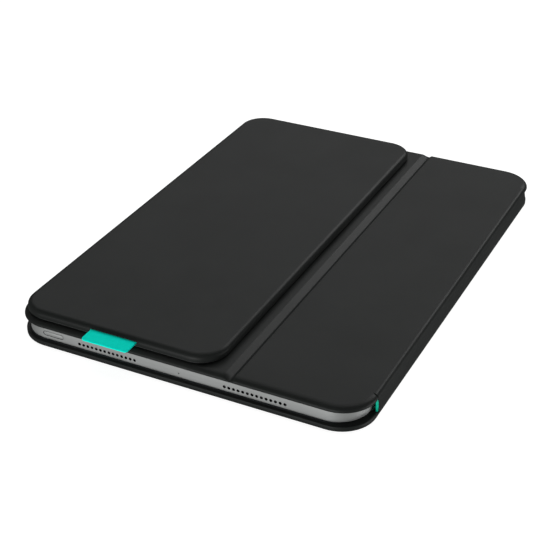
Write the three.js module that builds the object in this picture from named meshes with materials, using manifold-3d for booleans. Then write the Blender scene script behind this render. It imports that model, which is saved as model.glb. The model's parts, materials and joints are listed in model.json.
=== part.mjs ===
// Tablet keyboard case: a folio closed round a slim tablet, with a detachable keyboard docked
// on its front cover, keys down. Millimetres, +Z up, +X towards the spine, -Y the tab end.
// The origin is the centre of the back cover's outer face.
import * as THREE from "three";
import { mergeVertices } from "three/addons/utils/BufferGeometryUtils.js";
import Module from "manifold-3d";

const wasm = await Module();
wasm.setup();

// ---- driving dimensions ------------------------------------------------------------------
const CASE = { halfX: 91.2, halfY: 127.9, innerSpineR: 15 };
const BACK = { z0: 0, z1: 2.7, skin: 0.9, rim: 1.6, edge: 0.8, boardTop: 1.95, freeR: 18.5, spineR: 17 };
const TABLET = { x0: -89.2, x1: 88.2, halfY: 125.3, z0: 2.8, z1: 8.9, cornerR: 16, edge: 0.5 };
const FRONT = {
  z0: 9.1, z1: 12.1, x0: -91.7, y0: -126.7, cornerR: 17, skin: 0.9, rim: 1.6, edge: 1.1, liningTop: 9.8,
};
const SPINE = { pivotX: 89.85, lowZ: 1.75, highZ: 10.35, r: 1.35, halfY: 109, skin: 0.8, bar: 0.5 };
const CREASE = { x: 26.9, z: 10.65, leftX: 23.5, rightX: 28.5, gap: 0.3, stripX: 20.6, strip: 0.7 };
const KEYBOARD = { x0: -89.4, x1: 18.5, y0: -124.6, y1: 124.8, z0: 12.2, z1: 16.9, cornerR: 14 };
const SHELL = { z0: 12.9, wall: 1.4, roof: 1.0, edge: 1.2 };
const DECK = { rimTop: 12.85, innerZ0: 12.6, innerZ1: 13.75, inset: 1.7, wellDepth: 0.5 };
const KEY = {
  pitch: 16.6, units: 14, gap: 2.0, depth: 13.2, rowPitch: 15, firstRowX: -18.9,
  functionX: -6.3, functionDepth: 7.6, z0: 12.4, z1: 14.4, webZ: 14.1, webHalf: 2, hole: 0.4,
};
const TAB = { x0: -47.2, x1: -22.5, y0: -133.1, y1: -118.6, z0: 14.0, z1: 14.9, cornerR: 1.8 };
const FIT = 0.3;      // running gap between pieces that move or are cut for one another
const LAYER = 0.05;   // gap between flat layers that lie on each other
const ARC_STEPS = 6;  // straight pieces in a quarter turn

// ---- materials ---------------------------------------------------------------------------
function finish(color, roughness, metalness) {
  return new THREE.MeshStandardMaterial({ color, roughness, metalness });
}

const softBlack = () => finish(0x2d2f2e, 0.6, 0);
const boardGrey = () => finish(0x3a3b3c, 0.8, 0);
const lining = () => finish(0x3b3e40, 0.95, 0);
const teal = () => finish(0x10b89a, 0.6, 0);
const steel = () => finish(0x9a9da0, 0.35, 1);
const anodised = () => finish(0x86888b, 0.4, 1);
const keycap = () => finish(0x303234, 0.6, 0);
const rubber = () => finish(0xc9ccd0, 0.5, 0);
const solderMask = () => finish(0x1d5a3a, 0.5, 0);
const darkGlass = () => finish(0x0b0c0e, 0.08, 0);

// ---- shape helpers -----------------------------------------------------------------------
const group = new THREE.Group();

function add(name, geometry, material) {
  const mesh = new THREE.Mesh(geometry, material);
  mesh.name = name;
  group.add(mesh);
}

// Points of a quarter turn about (cx, cy), starting at the given angle.
function corner(cx, cy, r, start) {
  const points = [];
  for (let i = 0; i <= ARC_STEPS; i += 1) {
    const a = start + (i / ARC_STEPS) * (Math.PI / 2);
    points.push(new THREE.Vector2(cx + r * Math.cos(a), cy + r * Math.sin(a)));
  }
  return points;
}

// Rounded rectangle; r is one radius, or [low-left, low-right, high-right, high-left].
function outline(x0, x1, y0, y1, r) {
  const [a, b, c, d] = Array.isArray(r) ? r : [r, r, r, r];
  const q = Math.PI / 2;
  const turn = (cx, cy, radius, start) => {
    if (radius > 0) return corner(cx, cy, radius, start);
    return [new THREE.Vector2(cx, cy)];
  };
  return [
    ...turn(x0 + a, y0 + a, a, 2 * q),
    ...turn(x1 - b, y0 + b, b, 3 * q),
    ...turn(x1 - c, y1 - c, c, 0),
    ...turn(x0 + d, y1 - d, d, q),
  ];
}

// A flat plate between two heights; edge is the size of the rounding along both rims.
function plate(points, z0, z1, edge = 0) {
  const geometry = new THREE.ExtrudeGeometry(new THREE.Shape(points), {
    depth: z1 - z0 - 2 * edge,
    bevelEnabled: edge > 0,
    bevelThickness: edge,
    bevelSize: edge,
    bevelOffset: -edge,
    bevelSegments: 2,
    curveSegments: 1,
  });
  return geometry.translate(0, 0, z0 + edge);
}

function block(x0, x1, y0, y1, z0, z1) {
  return new THREE.BoxGeometry(x1 - x0, y1 - y0, z1 - z0)
    .translate((x0 + x1) / 2, (y0 + y1) / 2, (z0 + z1) / 2);
}

function disc(x, y, r, z0, z1, sides = 24) {
  return new THREE.CylinderGeometry(r, r, z1 - z0, sides)
    .rotateX(Math.PI / 2)
    .translate(x, y, (z0 + z1) / 2);
}

function toSolid(geometry) {
  const bare = geometry.clone();
  bare.deleteAttribute("normal");
  bare.deleteAttribute("uv");
  const merged = mergeVertices(bare, 1e-4);
  return new wasm.Manifold(new wasm.Mesh({
    numProp: 3,
    vertProperties: new Float32Array(merged.attributes.position.array),
    triVerts: new Uint32Array(merged.index.array),
  }));
}

function toGeometry(solid) {
  const mesh = solid.getMesh();
  const geometry = new THREE.BufferGeometry();
  geometry.setAttribute("position", new THREE.BufferAttribute(mesh.vertProperties, 3));
  geometry.setIndex(new THREE.BufferAttribute(mesh.triVerts, 1));
  geometry.computeVertexNormals();
  return geometry;
}

function cut(geometry, ...tools) {
  return toGeometry(tools.reduce((solid, tool) => solid.subtract(toSolid(tool)), toSolid(geometry)));
}

// Holes right through a plate, given by their outlines.
function pierce(geometry, ...holes) {
  return cut(geometry, ...holes.map((hole) => plate(hole, -20, 40)));
}

function join(...pieces) {
  return toGeometry(pieces.slice(1).reduce((solid, piece) => solid.add(toSolid(piece)), toSolid(pieces[0])));
}

// A prism along Y with the given X-Z section.
function prism(section, y0, y1) {
  const shape = new THREE.Shape(section.map(([x, z]) => new THREE.Vector2(x, z)));
  return new THREE.ExtrudeGeometry(shape, { depth: y1 - y0, bevelEnabled: false })
    .rotateX(Math.PI / 2)
    .translate(0, y1, 0);
}

// ---- back cover --------------------------------------------------------------------------
const CAMERA = { x: -68, y: -104, half: 16, r: 13, ring: 1.5 };
const BACK_MAGNETS = [[-48, -78], [48, -78], [48, 78], [-48, 78]];
const MAGNET = { halfX: 15, halfY: 4 };

const spineNotchX = SPINE.pivotX - SPINE.r - FIT;
const spineRoom = (z0, z1) => block(
  spineNotchX, CASE.halfX + 1, -SPINE.halfY - FIT, SPINE.halfY + FIT, z0 - 1, z1 + 1);

const cameraSquare = (grow) => outline(
  CAMERA.x - CAMERA.half - grow, CAMERA.x + CAMERA.half + grow,
  CAMERA.y - CAMERA.half - grow, CAMERA.y + CAMERA.half + grow, CAMERA.r + grow);

const rectangle = (x0, x1, y0, y1) => outline(x0, x1, y0, y1, 0);

function backCover() {
  const { halfX, halfY } = CASE;
  const { freeR, spineR } = BACK;
  const floorZ = BACK.z0 + BACK.skin;
  const hole = cameraSquare(CAMERA.ring + FIT);
  const skin = plate(
    outline(-halfX, halfX, -halfY, halfY, [freeR, spineR, spineR, freeR]), BACK.z0, BACK.z1, BACK.edge);
  const inner = (grow) => {
    const edge = BACK.rim + grow;
    return outline(
      -halfX + edge, spineNotchX - edge, -halfY + edge, halfY - edge,
      [freeR - edge, CASE.innerSpineR, CASE.innerSpineR, freeR - edge]);
  };
  add("back_skin", cut(
    skin,
    spineRoom(BACK.z0, BACK.z1),
    plate(inner(0), floorZ, BACK.z1 + 1),
    plate(hole, BACK.z0 - 1, BACK.z1 + 1),
  ), softBlack());

  const pockets = BACK_MAGNETS.map(([x, y]) => rectangle(
    x - MAGNET.halfX - FIT, x + MAGNET.halfX + FIT, y - MAGNET.halfY - FIT, y + MAGNET.halfY + FIT));
  const boardZ = [floorZ + LAYER, BACK.boardTop];
  add("back_board", pierce(plate(inner(FIT), ...boardZ), hole, ...pockets), boardGrey());
  BACK_MAGNETS.forEach(([x, y], i) => {
    const { halfX: hx, halfY: hy } = MAGNET;
    add(`back_magnet_${i + 1}`, block(x - hx, x + hx, y - hy, y + hy, ...boardZ), steel());
  });
  add("back_lining", pierce(plate(inner(FIT), BACK.boardTop + LAYER, BACK.z1), hole), lining());
  const ring = plate(cameraSquare(CAMERA.ring), BACK.z0 + LAYER, BACK.z1);
  add("camera_ring", pierce(ring, cameraSquare(0)), softBlack());
}

// ---- spine -------------------------------------------------------------------------------
// A wall with rounded ends, so that it turns about both hinge lines without scraping.
function spineSection(x0, x1) {
  const points = [];
  const steps = 8;
  const arc = (cz, from) => {
    for (let i = 0; i <= steps; i += 1) {
      const a = from + (i / steps) * Math.PI;
      points.push([SPINE.pivotX + SPINE.r * Math.cos(a), cz + SPINE.r * Math.sin(a)]);
    }
  };
  arc(SPINE.highZ, 0);
  arc(SPINE.lowZ, Math.PI);
  const { halfY } = SPINE;
  const wall = toSolid(prism(points, -halfY, halfY));
  const keep = toSolid(block(x0, x1, -halfY - 1, halfY + 1, -5, 20));
  return toGeometry(wall.intersect(keep));
}

function spine() {
  const outerX = SPINE.pivotX + SPINE.r;
  const innerX = SPINE.pivotX - SPINE.r;
  const skinX = outerX - SPINE.skin;
  const barX = skinX - LAYER - SPINE.bar;
  const barHalfY = SPINE.halfY - 4;
  const barZ = [SPINE.lowZ + 1, SPINE.highZ - 1];
  add("spine_skin", spineSection(skinX, outerX), softBlack());
  const pocket = block(
    barX - LAYER, skinX, -barHalfY - LAYER, barHalfY + LAYER, barZ[0] - LAYER, barZ[1] + LAYER);
  add("spine_liner", cut(spineSection(innerX, skinX - LAYER), pocket), teal());
  add("spine_bar", block(barX, skinX - LAYER, -barHalfY, barHalfY, ...barZ), steel());
}

// ---- front cover -------------------------------------------------------------------------
const DOCK_MAGNETS = [-119.8, 119.8];
const CLOSURE_MAGNETS = [-60, 60];
const DOCK_X = [-77, -51];
const DOCK_HALF_Y = 2.2;
const CLOSURE_X = [-86, -80];
const CLOSURE_HALF_Y = 20;

// The groove's two slopes meet at the fold line; this is the air above them.
const grooveAir = (halfY) => prism([
  [CREASE.leftX, FRONT.z1 + 0.001], [CREASE.x, CREASE.z], [CREASE.rightX, FRONT.z1 + 0.001],
  [CREASE.rightX, FRONT.z1 + 2], [CREASE.leftX, FRONT.z1 + 2],
], -halfY, halfY);

const frontPlate = () => plate(
  outline(FRONT.x0, CASE.halfX, FRONT.y0, CASE.halfY, FRONT.cornerR), FRONT.z0, FRONT.z1, FRONT.edge);

function frontInner() {
  const { halfX, halfY } = CASE;
  const x0 = CREASE.x + CREASE.gap;
  const roofZ = FRONT.z1 - FRONT.skin;
  const inner = (grow) => outline(
    CREASE.rightX + 1 + grow, spineNotchX - FRONT.rim - grow,
    FRONT.y0 + FRONT.rim + grow, halfY - FRONT.rim - grow,
    [1, CASE.innerSpineR, CASE.innerSpineR, 1]);
  const body = frontPlate();
  add("inner_panel_skin", cut(
    body,
    block(FRONT.x0 - 1, x0, -halfY - 1, halfY + 1, FRONT.z0 - 1, FRONT.z1 + 1),
    spineRoom(FRONT.z0, FRONT.z1),
    grooveAir(halfY + 1),
    plate(inner(0), FRONT.z0 - 1, roofZ),
  ), softBlack());
  add("inner_panel_board", plate(inner(FIT), FRONT.liningTop + LAYER, roofZ - LAYER), boardGrey());
  add("inner_panel_lining", plate(inner(FIT), FRONT.z0, FRONT.liningTop), lining());
}

function frontOuter() {
  const { halfX, halfY } = CASE;
  const x1 = CREASE.x - CREASE.gap;
  const roofZ = FRONT.z1 - FRONT.skin;
  const { stripX, strip } = CREASE;
  const inner = (grow) => {
    const edge = FRONT.rim + grow;
    const r = FRONT.cornerR - edge;
    return outline(FRONT.x0 + edge, stripX - grow, FRONT.y0 + edge, halfY - edge, [r, 1, 1, r]);
  };
  const stripRoom = block(stripX + 1, x1 + 1, FRONT.y0 + 3, halfY - 3, FRONT.z0 - 1, FRONT.z0 + strip);
  const body = frontPlate();
  add("outer_panel_skin", cut(
    body,
    block(x1, halfX + 1, -halfY - 1, halfY + 1, FRONT.z0 - 1, FRONT.z1 + 1),
    grooveAir(halfY + 1),
    plate(inner(0), FRONT.z0 - 1, roofZ),
    stripRoom,
  ), softBlack());
  const bars = [
    ...DOCK_MAGNETS.map((y) => [...DOCK_X, y - DOCK_HALF_Y, y + DOCK_HALF_Y]),
    ...CLOSURE_MAGNETS.map((y) => [...CLOSURE_X, y - CLOSURE_HALF_Y, y + CLOSURE_HALF_Y]),
  ];
  const names = ["dock_magnet_1", "dock_magnet_2", "closure_magnet_1", "closure_magnet_2"];
  const pockets = bars.map(([a, b, c, d]) => rectangle(a - FIT, b + FIT, c - FIT, d + FIT));
  const boardZ = [FRONT.liningTop + LAYER, roofZ - LAYER];
  add("outer_panel_board", pierce(plate(inner(FIT), ...boardZ), ...pockets), boardGrey());
  bars.forEach((bar, i) => add(names[i], block(...bar, ...boardZ), steel()));
  add("outer_panel_lining", plate(inner(FIT), FRONT.z0, FRONT.liningTop), lining());
  add("crease_strip", block(
    stripX + 1 + FIT, x1, FRONT.y0 + 3 + FIT, halfY - 3 - FIT, FRONT.z0, FRONT.z0 + strip - LAYER), lining());
}

// ---- keyboard ----------------------------------------------------------------------------
// Rows run along Y. Each entry is [row name, centre X, cap depth, keys as [width in units, node]].
const ones = (count, node) => Array.from({ length: count }, () => [1, node]);
const rowX = (i) => KEY.firstRowX - i * KEY.rowPitch;
const ROWS = [
  { x: KEY.functionX, depth: KEY.functionDepth, keys: ones(14, "function_keys") },
  {
    x: rowX(0),
    depth: KEY.depth,
    keys: [...ones(13, "number_keys"), [1, "backspace_key"]],
  },
  {
    x: rowX(1),
    depth: KEY.depth,
    keys: [[1.25, "tab_key"], ...ones(12, "top_letter_keys"), [0.75, "top_letter_keys"]],
  },
  {
    x: rowX(2),
    depth: KEY.depth,
    keys: [[1.5, "caps_key"], ...ones(11, "home_letter_keys"), [1.5, "enter_key"]],
  },
  {
    x: rowX(3),
    depth: KEY.depth,
    keys: [[2, "left_shift_key"], ...ones(10, "bottom_letter_keys"), [2, "right_shift_key"]],
  },
  {
    x: rowX(4),
    depth: KEY.depth,
    keys: [
      ...ones(3, "modifier_keys_left"), [1.25, "modifier_keys_left"], [4.5, "space_bar"],
      [1.25, "modifier_keys_right"], [1, "modifier_keys_right"], ...ones(3, "arrow_keys"),
    ],
  },
];
const STRIP = { x0: 0.8, x1: 16.6 };
const CELL = { r: 8, z0: 14.0, z1: 15.6, count: 4, pitch: 16.3, firstY: 47.6 };
const DOOR = { y0: 34, y1: 110, z0: 12.3, z1: 13.2 };
const SWITCH = { x0: 7.3, x1: 10.7, y0: -119.7, y1: -115.7, travel: 3, z0: 12.5, z1: 14.2 };
const SHEET = {
  x0: -86.8, x1: -0.5, halfY: 117, cornerR: 4, domeZ: 15.25, dome: 0.15, plateZ: 15.45, plate: 0.4,
};
const BOARD = { y0: -108, y1: 30, thickness: 0.8 };
const SCREW = { r: 1.0, holeR: 1.3, fromEnd: 2.6, shank: 0.6, slotHalf: 0.2, slotDeep: 0.4 };

// Every key as its cap rectangle and the node that it belongs to.
function keyPlaces() {
  const places = [];
  const firstY = (KEYBOARD.y0 + KEYBOARD.y1) / 2 - (KEY.units * KEY.pitch) / 2;
  for (const row of ROWS) {
    let y = firstY;
    for (const [width, node] of row.keys) {
      const y1 = y + width * KEY.pitch;
      const half = row.depth / 2;
      places.push({
        node, x0: row.x - half, x1: row.x + half, y0: y + KEY.gap / 2, y1: y1 - KEY.gap / 2,
      });
      y = y1;
    }
  }
  return places;
}

function keys(places) {
  const nodes = [...new Set(places.map((place) => place.node))];
  for (const node of nodes) {
    const own = places.filter((place) => place.node === node);
    const caps = own.map((p) => block(p.x0, p.x1, p.y0, p.y1, KEY.z0, KEY.z1));
    if (caps.length === 1) {
      add(node, caps[0], keycap());
      continue;
    }
    // A thin web behind the deck joins the caps of one row.
    const middle = (own[0].x0 + own[0].x1) / 2;
    const web = block(
      middle - KEY.webHalf, middle + KEY.webHalf, own[0].y0 + 1, own.at(-1).y1 - 1, KEY.webZ, KEY.z1);
    add(node, join(web, ...caps), keycap());
  }
}

function keyboardShell() {
  const { x0, x1, y0, y1, z0, z1, cornerR } = KEYBOARD;
  const w = SHELL.wall;
  const body = plate(outline(x0, x1, y0, y1, cornerR), SHELL.z0, z1, SHELL.edge);
  const inner = outline(x0 + w, x1 - w, y0 + w, y1 - w, cornerR - w);
  const hollow = plate(inner, SHELL.z0 - 1, z1 - SHELL.roof);
  const tabSlot = block(TAB.x0 - FIT, TAB.x1 + FIT, y0 - 1, y0 + w + 1, TAB.z0 - FIT, TAB.z1 + FIT);
  add("keyboard_back_shell", cut(body, hollow, tabSlot), softBlack());

  const places = keyPlaces();
  const inset = DECK.inset;
  const rimInset = 0.2;
  const rim = plate(
    outline(x0 + rimInset, x1 - rimInset, y0 + rimInset, y1 - rimInset, cornerR), z0, DECK.rimTop);
  const innerDeck = plate(
    outline(x0 + inset, x1 - inset, y0 + inset, y1 - inset, cornerR - inset), DECK.innerZ0, DECK.innerZ1);
  const well = block(
    places.at(-1).x0 - 1, places[0].x1 + 1, places[0].y0 - 1, places.at(-1).y1 + 1,
    z0 - 1, z0 + DECK.wellDepth);
  const through = (a, b, c, d) => block(a, b, c, d, z0 - 1, DECK.innerZ1 + 1);
  const holes = places.map((p) => through(
    p.x0 - KEY.hole, p.x1 + KEY.hole, p.y0 - KEY.hole, p.y1 + KEY.hole));
  const doorRoom = through(STRIP.x0 - FIT, STRIP.x1 + FIT, DOOR.y0 - FIT, DOOR.y1 + FIT);
  const switchSlot = through(
    SWITCH.x0 - FIT, SWITCH.x1 + FIT, SWITCH.y0 - FIT, SWITCH.y1 + SWITCH.travel + FIT);
  add("keyboard_deck", cut(join(rim, innerDeck), well, ...holes, doorRoom, switchSlot), softBlack());
  keys(places);
}

function keyboardInside() {
  const sheet = outline(SHEET.x0, SHEET.x1, -SHEET.halfY, SHEET.halfY, SHEET.cornerR);
  add("dome_sheet", plate(sheet, SHEET.domeZ, SHEET.domeZ + SHEET.dome), rubber());
  add("key_plate", plate(sheet, SHEET.plateZ, SHEET.plateZ + SHEET.plate), steel());
  add("circuit_board", block(
    STRIP.x0, STRIP.x1, BOARD.y0, BOARD.y1, CELL.z0, CELL.z0 + BOARD.thickness), solderMask());
  DOCK_MAGNETS.forEach((y, i) => {
    const halfY = DOCK_HALF_Y;
    add(`keyboard_magnet_${i + 1}`, block(...DOCK_X, y - halfY, y + halfY, CELL.z0, CELL.z1), steel());
  });
  const stripX = (STRIP.x0 + STRIP.x1) / 2;
  for (let i = 0; i < CELL.count; i += 1) {
    const y = CELL.firstY + i * CELL.pitch;
    add(`coin_cell_${i + 1}`, disc(stripX, y, CELL.r - 0.1, CELL.z0, CELL.z1), steel());
  }
  const screwY = [DOOR.y0 + SCREW.fromEnd, DOOR.y1 - SCREW.fromEnd];
  const doorCuts = screwY.map((y) => disc(stripX, y, SCREW.holeR, DOOR.z0 - 1, DOOR.z1 + 1));
  const door = plate(outline(STRIP.x0, STRIP.x1, DOOR.y0, DOOR.y1, 1), DOOR.z0, DOOR.z1);
  add("battery_door", cut(door, ...doorCuts), softBlack());
  screwY.forEach((y, i) => {
    const { r, shank, slotHalf, slotDeep } = SCREW;
    const head = disc(stripX, y, r, DOOR.z0, DOOR.z1 + shank);
    const driveSlot = block(
      stripX - r - 1, stripX + r + 1, y - slotHalf, y + slotHalf, DOOR.z0 - 1, DOOR.z0 + slotDeep);
    add(`door_screw_${i + 1}`, cut(head, driveSlot), steel());
  });
  add("power_switch", block(
    SWITCH.x0, SWITCH.x1, SWITCH.y0, SWITCH.y1, SWITCH.z0, SWITCH.z1), keycap());
}

function pullTab() {
  const { x0, x1, y0, y1, z0, z1, cornerR } = TAB;
  add("pull_tab", plate(outline(x0, x1, y0, y1, [cornerR, cornerR, 0, 0]), z0, z1), teal());
}

// ---- tablet ------------------------------------------------------------------------------
const BUTTON = { z0: 4.9, z1: 6.8, depth: 1.2, gap: 0.25, behind: 0.6, cornerDepth: 1.6 };
const GLASS = { inset: 1.2, z: 8.1 };
const LENS = { r: 6, z1: 3.6 };
const POWER_X = [-73.9, -63];
const VOLUME_UP_Y = [-98, -88];
const VOLUME_DOWN_Y = [-86, -76];

function tablet() {
  const { x0, x1, halfY, z0, z1, cornerR, edge } = TABLET;
  const g = BUTTON.gap;
  const inset = (d) => outline(x0 + d, x1 - d, -halfY + d, halfY - d, cornerR - d);
  const body = plate(outline(x0, x1, -halfY, halfY, cornerR), z0, z1, edge);
  const deep = BUTTON.depth + BUTTON.behind;
  const pocketZ = [BUTTON.z0 - g, BUTTON.z1 + g];
  const nearPocket = block(
    POWER_X[0] - g, POWER_X[1] + g, -halfY - 1, -halfY + BUTTON.cornerDepth + BUTTON.behind, ...pocketZ);
  const sidePocket = ([a, b]) => block(x0 - 1, x0 + deep, a - g, b + g, ...pocketZ);
  add("tablet_housing", cut(
    body,
    plate(inset(GLASS.inset), GLASS.z, z1 + 1),
    disc(CAMERA.x, CAMERA.y, LENS.r + g, z0 - 1, LENS.z1 + LAYER),
    nearPocket,
    sidePocket(VOLUME_UP_Y),
    sidePocket(VOLUME_DOWN_Y),
  ), anodised());
  add("tablet_glass", plate(inset(GLASS.inset + 2 * LAYER), GLASS.z + LAYER, z1), darkGlass());
  add("tablet_camera_lens", disc(CAMERA.x, CAMERA.y, LENS.r, z0, LENS.z1), darkGlass());
  // The power button starts on the turn of the corner, so its face takes the housing's curve.
  const power = toSolid(block(...POWER_X, -halfY, -halfY + BUTTON.cornerDepth, BUTTON.z0, BUTTON.z1));
  const whole = toSolid(plate(inset(0), z0, z1));
  add("tablet_power_button", toGeometry(power.intersect(whole)), anodised());
  add("tablet_volume_up", block(
    x0, x0 + BUTTON.depth, ...VOLUME_UP_Y, BUTTON.z0, BUTTON.z1), anodised());
  add("tablet_volume_down", block(
    x0, x0 + BUTTON.depth, ...VOLUME_DOWN_Y, BUTTON.z0, BUTTON.z1), anodised());
}

backCover();
spine();
frontInner();
frontOuter();
keyboardShell();
keyboardInside();
pullTab();
tablet();

export default group;
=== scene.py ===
import json
import math

import bmesh
import bpy
from mathutils import Matrix, Vector


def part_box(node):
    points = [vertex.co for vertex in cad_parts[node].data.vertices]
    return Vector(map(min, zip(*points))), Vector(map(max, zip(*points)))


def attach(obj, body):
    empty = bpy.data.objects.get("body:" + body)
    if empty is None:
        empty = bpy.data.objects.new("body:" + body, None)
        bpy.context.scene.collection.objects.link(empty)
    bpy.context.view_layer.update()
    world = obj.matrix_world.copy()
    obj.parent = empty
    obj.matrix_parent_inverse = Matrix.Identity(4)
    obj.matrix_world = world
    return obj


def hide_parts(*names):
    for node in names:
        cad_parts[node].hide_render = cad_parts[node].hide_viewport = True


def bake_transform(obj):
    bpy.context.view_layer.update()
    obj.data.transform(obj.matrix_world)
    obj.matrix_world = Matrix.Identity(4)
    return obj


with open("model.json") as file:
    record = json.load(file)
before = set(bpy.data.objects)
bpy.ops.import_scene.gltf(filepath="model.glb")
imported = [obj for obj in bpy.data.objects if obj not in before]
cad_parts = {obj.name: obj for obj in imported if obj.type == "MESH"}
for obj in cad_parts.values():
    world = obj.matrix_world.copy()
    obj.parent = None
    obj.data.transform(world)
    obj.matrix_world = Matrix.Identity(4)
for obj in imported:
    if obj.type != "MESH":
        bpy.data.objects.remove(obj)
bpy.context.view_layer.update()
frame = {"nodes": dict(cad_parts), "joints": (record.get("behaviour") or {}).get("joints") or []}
print("frame loaded:", len(frame["nodes"]), "nodes")

mm = 0.001
weldDistance = 0.001 * mm
# edges that turn by more degrees than this are drawn sharp
sharpAngle = 32
# how far inside a flat's edge its last ring lies, so that the edge shades cleanly
capInset = 0.5
# how far a cutting shape reaches past the piece it cuts
past = 3
joints = {joint["name"]: joint for joint in frame["joints"]}


# ---------- small helpers, all in millimetres ----------

def boxOf(*nodes):
    # lowest and highest corner of some nodes together, as x0 x1 y0 y1 z0 z1
    corners = [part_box(node) for node in nodes]
    low = [min(c[0][i] for c in corners) / mm for i in range(3)]
    high = [max(c[1][i] for c in corners) / mm for i in range(3)]
    return {"x0": low[0], "x1": high[0], "y0": low[1], "y1": high[1], "z0": low[2], "z1": high[2]}


def pivotOf(jointName):
    return [value / mm for value in joints[jointName]["pos_m"]]


def grown(box, **moves):
    made = dict(box)
    for side, distance in moves.items():
        made[side] += distance
    return made


def addObject(name, data):
    made = bpy.data.objects.new(name, data)
    bpy.context.scene.collection.objects.link(made)
    return made


def addMesh(name, points, faces, material, sharp=sharpAngle):
    mesh = bpy.data.meshes.new(name)
    mesh.from_pydata([Vector(p) * mm for p in points], [], faces)
    mesh.validate()
    mesh.shade_smooth()
    mesh.set_sharp_from_angle(angle=math.radians(sharp))
    mesh.materials.append(material)
    return addObject(name, mesh)


def bake(source, name=None, sharp=sharpAngle):
    # the evaluated shape as a plain mesh object; the source with its modifiers goes
    graph = bpy.context.evaluated_depsgraph_get()
    mesh = bpy.data.meshes.new_from_object(source.evaluated_get(graph))
    mesh.shade_smooth()
    mesh.set_sharp_from_angle(angle=math.radians(sharp))
    made = addObject(name or source.name + "_baked", mesh)
    bpy.data.objects.remove(source)
    return made


def cutWith(target, *cutters, sharp=sharpAngle, keep=False):
    # takes the cutters away from the target, or with keep leaves only what they share
    name = target.name
    for cutter in cutters:
        boolean = target.modifiers.new("cut", "BOOLEAN")
        boolean.operation = "INTERSECT" if keep else "DIFFERENCE"
        boolean.solver = "EXACT"
        boolean.material_mode = "TRANSFER"
        boolean.object = cutter
    target.name = name + "_raw"
    made = bake(target, name, sharp)
    for cutter in cutters:
        bpy.data.objects.remove(cutter)
    return made


def joinAll(name, parts):
    if len(parts) > 1:
        with bpy.context.temp_override(active_object=parts[0], selected_editable_objects=parts):
            bpy.ops.object.join()
    parts[0].name = name
    return parts[0]


def edgeSoften(target, width, segments=2, angle=40):
    bevel = target.modifiers.new("soft edges", "BEVEL")
    bevel.width = width * mm
    bevel.segments = segments
    bevel.limit_method = "ANGLE"
    bevel.angle_limit = math.radians(angle)
    name = target.name
    target.name = name + "_raw"
    return bake(target, name)


# ---------- rounded slabs built from rings ----------

def quarter(start, end, upright, steps=7):
    # quarter of an ellipse between two (inset, z) points; upright says it leaves the start vertically
    made = []
    for i in range(steps + 1):
        t = i / steps * math.pi / 2
        across, along = (1 - math.cos(t), math.sin(t)) if upright else (math.sin(t), 1 - math.cos(t))
        made.append((start[0] + (end[0] - start[0]) * across, start[1] + (end[1] - start[1]) * along))
    return made


def softSide(low, high, edge, flatInset, steps=3):
    # an upright side with a rounded rim at both ends
    return ([(flatInset, low)] + quarter((edge, low), (0, low + edge), False, steps)
            + quarter((0, high - edge), (edge, high), True, steps) + [(flatInset, high)])


def ring(box, radii, inset, height, stations=(), steps=14):
    # near side from left to right, then the far side back; height is a number or a rule of x
    near = []
    least = 0.05
    for cornerX, side, radius in ((box["x0"], 1, radii[0]), (box["x1"], -1, radii[1])):
        reach = max(radius, inset + least)
        small = max(radius - inset, least)
        start = math.pi if side == 1 else 1.5 * math.pi
        arc = []
        for k in range(steps + 1):
            a = start + k / steps * math.pi / 2
            arc.append((cornerX + side * reach + small * math.cos(a),
                        box["y0"] + reach + small * math.sin(a)))
        near += arc if side == -1 else arc + [(x, box["y0"] + inset) for x in stations]
    far = [(x, box["y0"] + box["y1"] - y) for x, y in reversed(near)]
    level = height if callable(height) else lambda x: height
    return [(x, y, level(x)) for x, y in near + far]


def ringSolid(name, rings, material, sharp=sharpAngle):
    # a closed solid through equal rings; the first cap looks down, the last looks up
    count = len(rings[0])
    half = count // 2
    faces = []
    for i in range(len(rings) - 1):
        for j in range(count):
            k = (j + 1) % count
            faces.append((i * count + j, i * count + k, (i + 1) * count + k, (i + 1) * count + j))
    top = (len(rings) - 1) * count
    for k in range(half - 1):
        faces.append((k, count - 1 - k, count - 2 - k, k + 1))
        faces.append((top + k, top + k + 1, top + count - 2 - k, top + count - 1 - k))
    return addMesh(name, [p for r in rings for p in r], faces, material, sharp)


def openRing(name, rings, material):
    # a frame round a window: the rings close on themselves and have no caps
    count, total = len(rings[0]), len(rings)
    faces = []
    for i in range(total):
        up = (i + 1) % total
        for j in range(count):
            k = (j + 1) % count
            faces.append((i * count + j, i * count + k, up * count + k, up * count + j))
    return addMesh(name, [p for r in rings for p in r], faces, material)


def slab(name, box, radii, profile, material, stations=(), steps=14, sharp=sharpAngle):
    # profile: (inset, z) from the bottom cap out and up to the top cap
    rings = [ring(box, radii, inset, z, stations, steps) for inset, z in profile]
    return ringSolid(name, rings, material, sharp)


def prismAlongY(name, section, y0, y1, material, sharp=sharpAngle):
    # section: (x, z) points anticlockwise as seen from -Y
    count = len(section)
    points = [(x, y, z) for y in (y0, y1) for x, z in section]
    faces = [tuple(range(count)), tuple(reversed(range(count, 2 * count)))]
    for i in range(count):
        k = (i + 1) % count
        faces.append((k, i, count + i, count + k))
    return addMesh(name, points, faces, material, sharp)


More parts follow.
